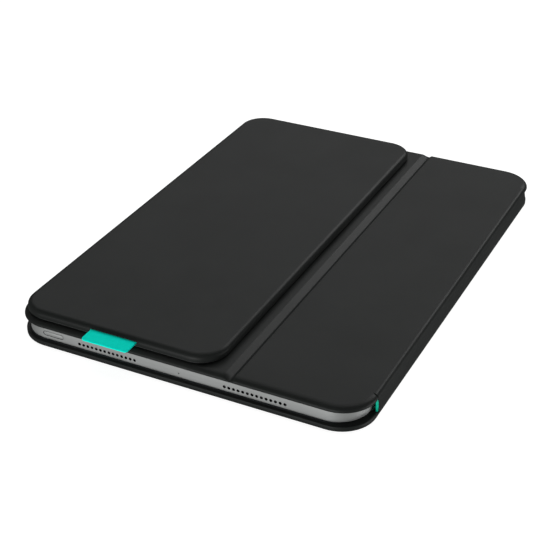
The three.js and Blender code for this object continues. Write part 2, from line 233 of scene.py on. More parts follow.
def roundedBlock(name, box, radius, edge, material, axis="Z", steps=6):
    # a block with rounded corners round the axis and softened rims at both ends of it
    a, b, c = {"Z": "xyz", "Y": "xzy", "X": "yzx"}[axis]
    flat = {"x0": box[a + "0"], "x1": box[a + "1"], "y0": box[b + "0"], "y1": box[b + "1"]}
    low, high = box[c + "0"], box[c + "1"]
    profile = softSide(low, high, edge, edge * 1.6) if edge else [(0, low), (0, high)]
    made = slab(name, flat, (radius, radius), profile, material, steps=steps)
    if axis == "Y":
        made.data.transform(Matrix(((1, 0, 0, 0), (0, 0, 1, 0), (0, 1, 0, 0), (0, 0, 0, 1))))
        made.data.flip_normals()
    if axis == "X":
        made.data.transform(Matrix(((0, 0, 1, 0), (1, 0, 0, 0), (0, 1, 0, 0), (0, 0, 0, 1))))
    return made


def cutterBox(x0, x1, y0, y1, z0, z1, radius=0, axis="Z", material=None):
    box = {"x0": x0, "x1": x1, "y0": y0, "y1": y1, "z0": z0, "z1": z1}
    return roundedBlock("cutter", box, radius, 0, material or plain, axis)


def cutterAround(box, gap, z0, z1, radius, material=None):
    # a cutter that stands round a box with that gap, between two heights
    return cutterBox(box["x0"] - gap, box["x1"] + gap, box["y0"] - gap, box["y1"] + gap, z0, z1,
                     radius, "Z", material)


def lathe(name, centre, profile, material, steps=48):
    # a turned piece round a vertical line; profile: (radius, z) from the axis below round to the axis above
    points, faces = [], []
    for radius, z in profile[1:-1]:
        for k in range(steps):
            a = k / steps * 2 * math.pi
            points.append((centre[0] + radius * math.cos(a), centre[1] + radius * math.sin(a), z))
    rows = len(profile) - 2
    for i in range(rows - 1):
        for k in range(steps):
            n = (k + 1) % steps
            faces.append((i * steps + k, i * steps + n, (i + 1) * steps + n, (i + 1) * steps + k))
    points += [(centre[0], centre[1], profile[0][1]), (centre[0], centre[1], profile[-1][1])]
    for k in range(steps):
        n = (k + 1) % steps
        faces.append((rows * steps, n, k))
        faces.append((rows * steps + 1, (rows - 1) * steps + k, (rows - 1) * steps + n))
    return addMesh(name, points, faces, material)


# ---------- geometry nodes: one shape repeated along a row ----------

def addInput(tree, name, kind, value):
    made = tree.interface.new_socket(name, in_out="INPUT", socket_type=kind)
    if value is not None:
        made.default_value = value


def rowTree(name, buildShape, shapeInputs):
    # a shape made by buildShape, set out in a row, realised and given its material
    tree = bpy.data.node_groups.new(name, "GeometryNodeTree")
    tree.interface.new_socket("Geometry", in_out="OUTPUT", socket_type="NodeSocketGeometry")
    addInput(tree, "Count", "NodeSocketInt", 1)
    addInput(tree, "First", "NodeSocketVector", (0, 0, 0))
    addInput(tree, "Step", "NodeSocketVector", (0, 0.01, 0))
    for inputName, value in shapeInputs.items():
        addInput(tree, inputName, "NodeSocketFloat", value)
    addInput(tree, "Finish", "NodeSocketMaterial", None)
    given = tree.nodes.new("NodeGroupInput").outputs
    shape = buildShape(tree, given)
    row = addNode(tree, "GeometryNodeMeshLine", {
        "Count": given["Count"], "Start Location": given["First"], "Offset": given["Step"]}, mode="OFFSET")
    copies = addNode(tree, "GeometryNodeInstanceOnPoints", {
        "Points": row.outputs["Mesh"], "Instance": shape})
    real = addNode(tree, "GeometryNodeRealizeInstances", {"Geometry": copies.outputs["Instances"]})
    dressed = addNode(tree, "GeometryNodeSetMaterial", {
        "Geometry": real.outputs["Geometry"], "Material": given["Finish"]})
    addNode(tree, "NodeGroupOutput", {"Geometry": dressed.outputs["Geometry"]})
    return tree


def capShape(tree, given):
    # a rounded block that points down and narrows towards its face in two steps
    outline = addNode(tree, "GeometryNodeCurvePrimitiveQuadrilateral", {
        "Width": given["Depth"], "Height": given["Width"]})
    soft = addNode(tree, "GeometryNodeFilletCurve", {
        "Curve": outline.outputs["Curve"], "Radius": given["Corner"], "Count": 4}, mode="POLY")
    flat = addNode(tree, "GeometryNodeFillCurve", {"Curve": soft.outputs["Curve"]}, mode="NGONS")
    shape, select = flat.outputs["Mesh"], None
    for rise, narrow in (("Skirt", "Taper"), ("Crown", "Crown Taper")):
        drop = addNode(tree, "ShaderNodeCombineXYZ", {"Z": addNode(
            tree, "ShaderNodeMath", {0: given[rise], 1: -1.0}, operation="MULTIPLY").outputs["Value"]})
        inputs = {"Mesh": shape, "Offset": drop.outputs["Vector"], "Individual": False, "Offset Scale": 1.0}
        if select:
            inputs["Selection"] = select
        raised = addNode(tree, "GeometryNodeExtrudeMesh", inputs, mode="FACES")
        scaled = addNode(tree, "GeometryNodeScaleElements", {
            "Geometry": raised.outputs["Mesh"], "Selection": raised.outputs["Top"], "Scale": given[narrow]})
        shape, select = scaled.outputs["Geometry"], raised.outputs["Top"]
    both = addNode(tree, "GeometryNodeJoinGeometry")
    tree.links.new(shape, both.inputs["Geometry"])
    tree.links.new(flat.outputs["Mesh"], both.inputs["Geometry"])
    closed = addNode(tree, "GeometryNodeMergeByDistance", {
        "Geometry": both.outputs["Geometry"], "Distance": weldDistance})
    return closed.outputs["Geometry"]


def drillShape(tree, given):
    # a round drill that lies along Y
    drill = addNode(tree, "GeometryNodeMeshCylinder", {
        "Vertices": 16, "Radius": given["Radius"], "Depth": given["Deep"]})
    laid = addNode(tree, "GeometryNodeTransform", {
        "Geometry": drill.outputs["Mesh"], "Rotation": (math.pi / 2, 0, 0)})
    return laid.outputs["Geometry"]


def makeRow(tree, name, values):
    # runs a row tree with these inputs and returns a plain, closed mesh object
    carrier = addObject(name + "_carrier", bpy.data.meshes.new(name + "_carrier"))
    modifier = carrier.modifiers.new("row", "NODES")
    modifier.node_group = tree
    for item in tree.interface.items_tree:
        if item.in_out == "INPUT" and item.name in values:
            modifier[item.identifier] = values[item.name]
    made = bake(carrier, name)
    shape = bmesh.new()
    shape.from_mesh(made.data)
    bmesh.ops.remove_doubles(shape, verts=shape.verts, dist=weldDistance)
    bmesh.ops.recalc_face_normals(shape, faces=shape.faces)
    shape.to_mesh(made.data)
    shape.free()
    made.data.set_sharp_from_angle(angle=math.radians(sharpAngle))
    return made


# ---------- materials ----------

def linear(hexColour):
    # sRGB hex to linear RGBA
    parts = [int(hexColour[i:i + 2], 16) / 255 for i in (0, 2, 4)]
    return [c / 12.92 if c <= 0.04045 else ((c + 0.055) / 1.055) ** 2.4 for c in parts] + [1]


def addNode(tree, kind, links=None, **settings):
    # one node: its own settings, then each input as a link or a value
    made = tree.nodes.new(kind)
    for key, value in settings.items():
        setattr(made, key, value)
    for key, value in (links or {}).items():
        if isinstance(value, bpy.types.NodeSocket):
            tree.links.new(value, made.inputs[key])
        else:
            made.inputs[key].default_value = value
    return made


def newMaterial(name):
    made = bpy.data.materials.new(name)
    made.use_nodes = True
    tree = made.node_tree
    tree.nodes.clear()
    place = addNode(tree, "ShaderNodeTexCoord").outputs["Object"]
    shader = addNode(tree, "ShaderNodeBsdfPrincipled")
    addNode(tree, "ShaderNodeOutputMaterial", {"Surface": shader.outputs["BSDF"]})
    return made, tree, place, shader


def perMm(size):
    # texture scale for a feature of that many millimetres
    return 1 / (size * mm)


def noiseOf(tree, vector, size, detail):
    noise = addNode(tree, "ShaderNodeTexNoise", {"Vector": vector, "Scale": perMm(size), "Detail": detail})
    return noise.outputs["Fac"]


def mottled(tree, shader, place, colours, size, detail=3):
    # a slow drift between two close colours
    ramp = addNode(tree, "ShaderNodeValToRGB", {"Fac": noiseOf(tree, place, size, detail)})
    for stop, position, colour in zip(ramp.color_ramp.elements, (0.35, 0.65), colours):
        stop.position = position
        stop.color = linear(colour)
    tree.links.new(ramp.outputs["Color"], shader.inputs["Base Color"])


def embossed(tree, shader, height, strength, depth):
    # that height as a bump of the surface, its depth in millimetres
    bump = addNode(tree, "ShaderNodeBump", {"Height": height, "Strength": strength, "Distance": depth * mm})
    tree.links.new(bump.outputs["Normal"], shader.inputs["Normal"])


def roughened(tree, shader, pattern, low, high):
    rough = addNode(tree, "ShaderNodeMapRange", {"Value": pattern, "To Min": low, "To Max": high})
    tree.links.new(rough.outputs["Result"], shader.inputs["Roughness"])


def setValues(shader, **values):
    for key, value in values.items():
        shader.inputs[key.replace("_", " ")].default_value = value


def softTouchPolyurethane(name, colours, grain=0.55):
    # soft-touch polyurethane skin, moulded with a very fine leather grain: dull, with a faint broad sheen;
    # the real grain is about 0.2 mm, drawn at 0.55 mm so that it shows
    made, tree, place, shader = newMaterial(name)
    mottled(tree, shader, place, colours, 38)
    cells = addNode(tree, "ShaderNodeTexVoronoi", {"Vector": place, "Scale": perMm(grain)},
                    feature="SMOOTH_F1")
    dust = noiseOf(tree, place, grain * 0.5, 2)
    both = addNode(tree, "ShaderNodeMath", {0: cells.outputs["Distance"], 1: dust}, operation="ADD")
    embossed(tree, shader, both.outputs["Value"], 0.35, 0.02)
    roughened(tree, shader, noiseOf(tree, place, 24, 4), 0.36, 0.42)
    setValues(shader, IOR=1.5, Specular_IOR_Level=0.09)
    return made


def microfibre(name, colours):
    # brushed microfibre: short nap that lies in streaks, no shine, pale at grazing angles
    made, tree, place, shader = newMaterial(name)
    mottled(tree, shader, place, colours, 9, 6)
    streaks = addNode(tree, "ShaderNodeMapping", {"Vector": place, "Scale": (1, 0.25, 1)})
    embossed(tree, shader, noiseOf(tree, streaks.outputs["Vector"], 0.5, 3), 0.5, 0.08)
    setValues(shader, Roughness=0.95, Specular_IOR_Level=0.15, Sheen_Weight=0.25, Sheen_Roughness=0.5)
    return made


def wovenTape(name, colours):
    # close-woven polyester tape: threads 0.4 mm apart, warp and weft, slightly satin
    made, tree, place, shader = newMaterial(name)
    mottled(tree, shader, place, colours, 3)
    threads = []
    for direction in ("X", "Y"):
        wave = addNode(tree, "ShaderNodeTexWave", {
            "Vector": place, "Scale": perMm(0.4) / math.pi, "Distortion": 0.6},
            wave_type="BANDS", bands_direction=direction)
        threads.append(wave.outputs["Fac"])
    cloth = addNode(tree, "ShaderNodeMath", {0: threads[0], 1: threads[1]}, operation="MULTIPLY")
    embossed(tree, shader, cloth.outputs["Value"], 0.5, 0.05)
    setValues(shader, Roughness=0.85, Specular_IOR_Level=0.05)
    return made


def anodisedAluminium(name, colours):
    # bead-blasted, grey anodised aluminium: an even satin with a fine sparkle of about 0.3 mm
    made, tree, place, shader = newMaterial(name)
    mottled(tree, shader, place, colours, 30)
    blast = noiseOf(tree, place, 0.3, 2)
    embossed(tree, shader, blast, 0.25, 0.01)
    roughened(tree, shader, blast, 0.46, 0.56)
    setValues(shader, Metallic=0.3)
    return made


def mouldedPlastic(name, colours, roughness=(0.45, 0.58), level=0.4, grain=0.35):
    # moulded plastic with a spark-eroded texture: fine even stipple
    made, tree, place, shader = newMaterial(name)
    mottled(tree, shader, place, colours, 20)
    stipple = noiseOf(tree, place, grain, 3)
    embossed(tree, shader, stipple, 0.3, 0.02)
    roughened(tree, shader, stipple, *roughness)
    setValues(shader, Specular_IOR_Level=level)
    return made


def rolledSteel(name, colours):
    # cold-rolled, nickel-plated steel: fine streaks along the rolling direction
    made, tree, place, shader = newMaterial(name)
    mottled(tree, shader, place, colours, 15)
    stretched = addNode(tree, "ShaderNodeMapping", {"Vector": place, "Scale": (1, 0.03, 1)})
    roughened(tree, shader, noiseOf(tree, stretched.outputs["Vector"], 0.25, 3), 0.22, 0.42)
    setValues(shader, Metallic=1.0)
    return made


def coverGlass(name, colours):
    # polished cover glass over a dark display: near black with sharp reflections and faint smears
    made, tree, place, shader = newMaterial(name)
    mottled(tree, shader, place, colours, 60)
    roughened(tree, shader, noiseOf(tree, place, 18, 5), 0.03, 0.09)
    setValues(shader, IOR=1.52, Specular_IOR_Level=0.3)
    return made


plain = bpy.data.materials.new("cutting_shape")
coverSkin = softTouchPolyurethane("soft_touch_polyurethane_black", ("1f2120", "232524"))
keyboardSkin = softTouchPolyurethane("soft_touch_polyurethane_keyboard", ("1f2120", "232524"), 0.5)
linerTeal = softTouchPolyurethane("polyurethane_liner_teal", ("12b897", "18c4a2"), 0.5)
lining = microfibre("brushed_microfibre_grey", ("343739", "414548"))
tape = wovenTape("woven_polyester_tape_teal", ("00f4dc", "06f8e2"))
anodised = anodisedAluminium("anodised_aluminium_grey", ("8c8e8d", "949695"))
deckPlastic = mouldedPlastic("textured_abs_charcoal", ("202222", "262828"))
capPlastic = mouldedPlastic("textured_keycap_abs", ("2b2d2f", "303335"), (0.5, 0.62), 0.35, 0.25)
# near-black painted shade for the cut walls of the speaker and microphone holes, the charging port, the
# button pockets and the lens seat
paintedHoleShade = mouldedPlastic("painted_hole_shade_black", ("050505", "0a0a0a"), (0.8, 0.9), 0.1)
legendInk = mouldedPlastic("laser_marked_legend", ("c6c9cb", "d2d5d7"), (0.5, 0.6), 0.3)
steel = rolledSteel("nickel_plated_steel", ("9c9ea0", "aeb0b2"))
boardFibre = mouldedPlastic("glass_fibre_board_grey", ("36383a", "404244"), (0.6, 0.75), 0.4, 0.6)
solderMask = mouldedPlastic("solder_mask_green", ("174d30", "1d5a39"), (0.25, 0.4), 0.5, 0.8)
domeRubber = mouldedPlastic("silicone_dome_rubber", ("c2c5c8", "cdd0d3"), (0.5, 0.6), 0.3, 0.8)
glass = coverGlass("polished_cover_glass", ("060708", "0a0b0d"))
print("materials made")


# ---------- front cover: one skin over both panels, grooved between them --------

# what the two covers share: a rim of skin round a sheet of lining, and places for points along X
covers = {
    "rim": 1.9, "chamfer": 0.12, "innerSpineRadius": 15, "stations": range(-66, 72, 12),
    "liningGap": 0.08, "liningEdge": (0.25, 0.15), "liningCap": 0.6,
}
frontCover = {
    "cornerRadius": 17, "lowerRound": 0.6, "sideZ": 0.75, "topRound": 3.5, "skin": 0.85, "lining": 0.42,
    "backingRight": 2.4, "backingGap": 0.02, "backing": 0.18, "backingCorner": 0.5,
}
crease = {"left": 3.4, "right": 1.9, "deep": 1.75, "eased": 0.3, "bend": 1.6, "spacing": 0.25, "margin": 2}
creaseX, _, creaseZ = pivotOf("crease_fold")
spineBox = boxOf("spine_skin", "spine_liner")
notch = {"x": spineBox["x0"] - 0.3, "halfY": spineBox["y1"] + 0.05}
coverBox = boxOf("inner_panel_skin", "outer_panel_skin")


def grooveDepth(x):
    # two slopes that meet at the fold line, with their corners eased
    soft, samples, total = crease["eased"], 7, 0
    for i in range(samples):
        at = x + soft * (2 * i / (samples - 1) - 1) - creaseX
        total += max(0, min((at + crease["left"]) / crease["left"], (crease["right"] - at) / crease["right"]))
    return crease["deep"] * total / samples


def acrossCover():
    # places along X where the cover has points: dense over the groove, sparse elsewhere
    left, right = creaseX - crease["left"] - 1, creaseX + crease["right"] + 1
    fine = int((right - left) / crease["spacing"])
    margin = crease["margin"]
    sparse = [x for x in covers["stations"] if x < left - margin or right + margin < x]
    dense = [left + (right - left) * i / fine for i in range(fine + 1)]
    return sorted(sparse + dense + [coverBox["x1"] - frontCover["cornerRadius"] - margin])


def lowered(z, share):
    # height rule: the groove cuts down into it by that share of its depth
    return lambda x: z - share * grooveDepth(x)


def insideRim(box, cornerRadius):
    # the recess that a cover's rim leaves, and the radii of its corners
    rim = covers["rim"]
    inner = grown(box, x0=rim, y0=rim, y1=-rim)
    inner["x1"] = notch["x"] - rim
    return inner, (cornerRadius - rim, covers["innerSpineRadius"])


def spineNotch(box):
    # takes away a cover's edge where the spine's skin goes on from it
    return cutterBox(notch["x"], box["x1"] + past, -notch["halfY"], notch["halfY"],
                     box["z0"] - past, box["z1"] + past)


def liningSheet(name, inner, radii, face, hidden, stations):
    # a sheet that fills the recess, with an eased edge on the face that shows
    gap = covers["liningGap"]
    across, down = covers["liningEdge"]
    eased = face + math.copysign(down, hidden - face)
    profile = [(covers["liningCap"], face), (across, face), (0, eased), (0, hidden), (capInset, hidden)]
    if face > hidden:
        profile.reverse()
    box = grown(inner, x0=gap, x1=-gap, y0=gap, y1=-gap)
    return slab(name, box, radii, profile, lining, stations)


def makeFrontCover():
    v = frontCover
    z0, z1 = coverBox["z0"], coverBox["z1"]
    stations = acrossCover()
    radii = (v["cornerRadius"], v["cornerRadius"])
    inner, innerRadii = insideRim(coverBox, v["cornerRadius"])
    chamfer = covers["chamfer"]
    roof = z1 - v["skin"]
    sideZ = z0 + v["sideZ"]
    rings = [
        ring(inner, innerRadii, capInset, lowered(roof, 1), stations),
        ring(inner, innerRadii, 0, lowered(roof, 1), stations),
        ring(inner, innerRadii, 0, z0 + chamfer, stations),
        ring(inner, innerRadii, -chamfer, z0, stations),
    ]
    outer = quarter((v["lowerRound"], z0), (0, sideZ), False, 5)
    outer += quarter((0, sideZ), (v["topRound"], z1), True, 10)[1:]
    outer.append((v["topRound"] + capInset, z1))
    for inset, z in outer:
        share = max(0, (z - sideZ) / (z1 - sideZ))
        rings.append(ring(coverBox, radii, inset, lowered(z, share), stations))
    cover = ringSolid("front_cover_skin", rings, coverSkin)
    cover = cutWith(cover, spineNotch(coverBox))
    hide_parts("inner_panel_skin", "outer_panel_skin")

    # lining sheet and the thin strip that backs the crease
    top = z0 + v["lining"]
    sheet = liningSheet("front_cover_lining", inner, innerRadii, z0, top, stations)
    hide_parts("inner_panel_lining", "outer_panel_lining")
    strip = boxOf("crease_strip")
    strip["x1"] = creaseX + v["backingRight"]
    low = top + v["backingGap"]
    backing = slab("crease_backing_strip", strip, (v["backingCorner"], v["backingCorner"]), [
        (0, low), (0, low + v["backing"])], lining,
        [x for x in stations if strip["x0"] + 1 < x < strip["x1"] - 1], steps=2)
    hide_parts("crease_strip")
    for piece in (cover, sheet, backing):
        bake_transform(piece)


makeFrontCover()
print("front cover made")


# ---------- back cover ----------

backCover = {
    "freeRadius": 18.5, "spineRadius": 17, "lowerRound": 0.7, "upperRound": 0.45,
    "floor": 0.9, "lining": 0.55,
}
cameraWindow = {"radius": 14.5, "wall": 1.45, "lip": 0.4, "gap": 0.15, "recess": 0.05}
backBox = boxOf("back_skin")
ringBox = boxOf("camera_ring")


def cameraCutter():
    grow = cameraWindow["gap"]
    return cutterAround(ringBox, grow, backBox["z0"] - past, backBox["z1"] + past,
                        cameraWindow["radius"] + grow)


def makeBackCover():
    v = backCover
    z0, z1 = backBox["z0"], backBox["z1"]
    radii = (v["freeRadius"], v["spineRadius"])
    inner, innerRadii = insideRim(backBox, v["freeRadius"])
    stations = list(covers["stations"])
    chamfer = covers["chamfer"]
    outer = [(v["lowerRound"] + capInset, z0)]
    outer += quarter((v["lowerRound"], z0), (0, z0 + v["lowerRound"]), False, 8)
    outer += quarter((0, z1 - v["upperRound"]), (v["upperRound"], z1), True, 4)
    rings = [ring(backBox, radii, inset, z, stations) for inset, z in outer]
    rings += [
        ring(inner, innerRadii, -chamfer, z1, stations),
        ring(inner, innerRadii, 0, z1 - chamfer, stations),
        ring(inner, innerRadii, 0, z0 + v["floor"], stations),
        ring(inner, innerRadii, capInset, z0 + v["floor"], stations),
    ]
    skin = ringSolid("back_cover_skin", rings, coverSkin)
    skin = cutWith(skin, spineNotch(backBox), cameraCutter())
    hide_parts("back_skin")
    sheet = liningSheet("back_cover_lining", inner, innerRadii, z1, z1 - v["lining"], stations)
    sheet = cutWith(sheet, cameraCutter())
    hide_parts("back_lining")

    # ring round the camera window: a moulded frame with rounded lips
    wall, lip, r = cameraWindow["wall"], cameraWindow["lip"], cameraWindow["radius"]
    low = z0 + cameraWindow["recess"]
    section = quarter((lip, low), (0, low + lip), False, 4)
    section += quarter((0, z1 - lip), (lip, z1), True, 4)
    section += quarter((wall - lip, z1), (wall, z1 - lip), False, 4)
    section += quarter((wall, low + lip), (wall - lip, low), True, 4)
    frameRing = openRing("camera_window_ring", [ring(ringBox, (r, r), inset, z) for inset, z in section],
                         deckPlastic)
    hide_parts("camera_ring")
    for piece in (skin, sheet, frameRing):
        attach(piece, "back_cover")


makeBackCover()
print("back cover made")


# ---------- spine: two strips of skin and a liner ----------------------------------------

spine = {
    "skin": 0.4, "upperRound": 1.9, "lowerRound": 0.8, "crown": 0.6, "steps": 10, "bend": (3.2, 2.8),
    "linerGap": 0.03, "bulge": 1.4, "linerLap": 0.9, "linerInset": 0.05, "linerEdge": 0.15,
}


def spineCrown(z):
    # the wall swells outwards between its two rounded corners
    low, high = backBox["z0"] + spine["lowerRound"], coverBox["z1"] - spine["upperRound"]
    return spine["crown"] * math.sin(math.pi * min(max((z - low) / (high - low), 0), 1))


def spineStrip(name, upper):
    # skin from the cover's edge, round the corner and half way along the spine wall
    coverEdgeX, outerX = notch["x"], spineBox["x1"]
    level = coverBox["z1"] if upper else backBox["z0"]
    turn = -1 if upper else 1
    middle = (coverBox["z1"] + backBox["z0"]) / 2
    r, t = spine["upperRound" if upper else "lowerRound"], spine["skin"]

    def path(offset):
        made = [(coverEdgeX + i * (outerX - r - coverEdgeX) / 4, level + turn * offset) for i in range(4)]
        for i in range(spine["steps"] + 1):
            a = i / spine["steps"] * math.pi / 2
            made.append((outerX - r + (r - offset) * math.sin(a),
                         level + turn * (r - (r - offset) * math.cos(a))))
        start = level + turn * r
        for i in range(1, 9):
            z = start + (middle - start) * i / 8
            made.append((outerX - offset + spineCrown(z), z))
        return made

    section = path(0) + list(reversed(path(t)))
    if upper:
        section = list(reversed(section))
    strip = prismAlongY(name, section, spineBox["y0"], spineBox["y1"], coverSkin)
    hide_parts("spine_skin")
    return strip


def makeSpine():
    upper = spineStrip("spine_upper_skin", True)
    lower = spineStrip("spine_lower_skin", False)
    outerX = spineBox["x1"]
    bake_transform(upper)
    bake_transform(lower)

    # liner: flat against the skin, crowned towards the tablet
    flatX = outerX - spine["skin"] - spine["linerGap"]
    bar = boxOf("spine_bar")
    low, high = bar["z0"] - spine["linerLap"], bar["z1"] + spine["linerLap"]
    heights = [low + (high - low) * i / 12 for i in range(13)]
    section = [(flatX + spineCrown(z), z) for z in heights]
    for i in range(1, 16):
        a = i / 16 * math.pi
        z = (low + high) / 2 + (high - low) / 2 * math.cos(a)
        section.append((flatX + spineCrown(z) - spine["bulge"] * math.sin(a) ** 0.6, z))
    band = prismAlongY("spine_liner_band", section, spineBox["y0"] + spine["linerInset"],
                       spineBox["y1"] - spine["linerInset"], linerTeal)
    band = edgeSoften(band, spine["linerEdge"])
    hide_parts("spine_liner", "spine_bar")
    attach(band, "spine")


makeSpine()
print("spine made")


# ---------- keyboard: back shell, deck, tab ----------

keyboard = {
    "cornerRadius": 14, "topRound": (2.8, 2.5), "lowerRound": 0.35, "wall": 1.4, "roof": 1.0,
    "stations": [-70, -50, -35, -15, 0], "slotSide": 0.35, "slotFace": 0.3, "slotCorner": 0.4,
}
pullTab = {"corner": 1.7, "edge": 0.22, "flatInset": 0.52, "stations": [-45, -40, -35, -30, -25]}
shellBox = boxOf("keyboard_back_shell")
deckBox = boxOf("keyboard_deck")
tabBox = boxOf("pull_tab")


def makeKeyboardShell():
    v = keyboard
    z0, z1 = shellBox["z0"], shellBox["z1"]
    r = v["cornerRadius"]
    stations = v["stations"]
    inner = grown(shellBox, x0=v["wall"], x1=-v["wall"], y0=v["wall"], y1=-v["wall"])
    innerRadii = (r - v["wall"], r - v["wall"])
    roof = z1 - v["roof"]
    rings = [
        ring(inner, innerRadii, capInset, roof, stations),
        ring(inner, innerRadii, 0, roof, stations),
        ring(inner, innerRadii, 0, z0, stations),
    ]
    across, down = v["topRound"]
    outer = quarter((v["lowerRound"], z0), (0, z0 + v["lowerRound"]), False, 3)
    outer += quarter((0, z1 - down), (across, z1), True, 12)
    outer.append((across + capInset, z1))
    rings += [ring(shellBox, (r, r), inset, z, stations) for inset, z in outer]
    shell = ringSolid("keyboard_shell", rings, keyboardSkin)
    side, face = v["slotSide"], v["slotFace"]
    slot = cutterBox(tabBox["x0"] - side, tabBox["x1"] + side, shellBox["y0"] - past, shellBox["y0"] + past,
                     tabBox["z0"] - face, tabBox["z1"] + face, v["slotCorner"], "Y")
    shell = cutWith(shell, slot)
    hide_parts("keyboard_back_shell")
    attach(shell, "keyboard")


def makePullTab():
    v = pullTab
    profile = softSide(tabBox["z0"], tabBox["z1"], v["edge"], v["flatInset"])
    tab = slab("pull_tab_ribbon", tabBox, (v["corner"], v["corner"]), profile, tape, v["stations"], steps=8)
    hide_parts("pull_tab")
    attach(tab, "keyboard")


makeKeyboardShell()
makePullTab()
print("keyboard shell and tab made")


# ---------- keyboard: the face with the keys, which looks down while it is docked ----------

deck = {
    "rimInset": 0.3, "rimTop": 12.85, "edge": 0.35, "innerInset": 1.75, "top": 13.7, "well": 0.45,
    "wellMargin": 1.6, "wellCorner": 3.2, "hole": 0.35, "holeCorner": 1.5, "holeSteps": (4, 2),
    "doorGap": 0.2, "doorCorner": 1.7, "knobGap": 0.25, "knobCorner": 1.0, "knobTravel": 3,
}
keys = {
    "gap": 2.0, "corner": 1.3, "skirt": 1.55, "crown": 0.4, "taper": 0.965, "crownTaper": 0.955,
    "legend": 3.3, "wordLegend": 2.1, "ink": 0.015, "inkGap": 0.002, "sameWidth": 0.05,
}
batteryCover = {
    "corner": 1.5, "edge": 0.2, "screwGap": 0.1,
    "grips": 5, "gripStart": 34, "gripPitch": 1.8, "gripWide": 0.8, "gripHalf": 4, "gripDeep": 0.25,
    "gripCorner": 0.35,
}
switchKnob = {
    "corner": 0.8, "edge": 0.2,
    "grips": 3, "gripStart": 0.75, "gripPitch": 0.9, "gripWide": 0.4, "gripSide": 0.6, "gripDeep": 0.2,
}
# legends from the tab end; a number after a colon is the key's width in units
keyLegends = {
    "function_keys": "esc F1 F2 F3 F4 F5 F6 F7 F8 F9 F10 F11 F12 off",
    "number_keys": "` 1 2 3 4 5 6 7 8 9 0 - =",
    "backspace_key": "del",
    "tab_key": "tab:1.25",
    "top_letter_keys": "Q W E R T Y U I O P [ ] \\",
    "caps_key": "caps:1.5",
    "home_letter_keys": "A S D F G H J K L ; '",
    "enter_key": "enter:1.5",
    "left_shift_key": "shift:2",
    "bottom_letter_keys": "Z X C V B N M , . /",
    "right_shift_key": "shift:2",
    "modifier_keys_left": "fn ctrl alt alt:1.25",
    "space_bar": "_:4.5",
    "modifier_keys_right": "alt:1.25 ctrl",
    "arrow_keys": "< ^ >",
}


def keysOf(node):
    # each key of a body: legend and its place on the deck
    box = boxOf(node)
    row, y = [], box["y0"]
    words = keyLegends[node].split()
    units = [float(word.split(":")[1]) if len(word) > 1 and ":" in word else 1 for word in words]
    scale = (box["y1"] - box["y0"] + keys["gap"]) / sum(units)
    for word, unit in zip(words, units):
        width = unit * scale - keys["gap"]
        row.append({"legend": word.split(":")[0] if len(word) > 1 else word,
                    "y": y + width / 2, "width": width})
        y += width + keys["gap"]
    return box, row


def runsOf(row):
    # neighbours of the same width, so that each run is one row of copies
    runs = []
    for key in row:
        if runs and abs(runs[-1][-1]["width"] - key["width"]) < keys["sameWidth"]:
            runs[-1].append(key)
        else:
            runs.append([key])
    return runs


def capRows(tree, name, node, grow, depthDown, values, finish):
    box, row = keysOf(node)
    made = []
    for run in runsOf(row):
        made.append(makeRow(tree, name, {
            "Count": len(run),
            "First": ((box["x0"] + box["x1"]) / 2 * mm, run[0]["y"] * mm, depthDown * mm),
            "Step": (0, (run[0]["width"] + keys["gap"]) * mm, 0),
            "Depth": (box["x1"] - box["x0"] + 2 * grow) * mm,
            "Width": (run[0]["width"] + 2 * grow) * mm,
            "Finish": finish, **values}))
    return made


def makeKeycaps(tree, node):
    v = keys
    box = boxOf(node)
    caps = capRows(tree, node + "_caps", node, 0, box["z0"] + v["skirt"] + v["crown"], {
        "Corner": v["corner"] * mm, "Skirt": v["skirt"] * mm, "Crown": v["crown"] * mm,
        "Taper": v["taper"], "Crown Taper": v["crownTaper"]}, capPlastic)
    piece = joinAll(node + "_caps", caps)
    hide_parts(node)
    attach(piece, node)


def legendMesh(word, size):
    # the word as a thin closed mesh, centred, in its own plane
    text = bpy.data.curves.new("legend", "FONT")
    text.body = word
    text.size = size * mm
    text.align_x, text.align_y = "CENTER", "CENTER"
    text.extrude = keys["ink"] * mm / 2
    text.resolution_u = 2
    holder = addObject("legend", text)
    mesh = bpy.data.meshes.new_from_object(holder.evaluated_get(bpy.context.evaluated_depsgraph_get()))
    bpy.data.objects.remove(holder)
    return mesh


def makeLegends(node):
    # printed on the caps, to be read from below with the spine side up
    box, row = keysOf(node)
    v = keys
    parts = []
    for key in row:
        word = key["legend"]
        if word == "_":
            continue
        size = v["legend"] if len(word) == 1 else v["wordLegend"]
        mesh = legendMesh(word, size)
        mesh.transform(Matrix((
            (0, 1, 0, (box["x0"] + box["x1"]) / 2 * mm), (1, 0, 0, key["y"] * mm),
            (0, 0, -1, (box["z0"] + v["inkGap"]) * mm), (0, 0, 0, 1))))
        mesh.materials.clear()
        mesh.materials.append(legendInk)
        parts.append(addObject("legend", mesh))
    if parts:
        piece = joinAll(node + "_legends", parts)
        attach(piece, node)


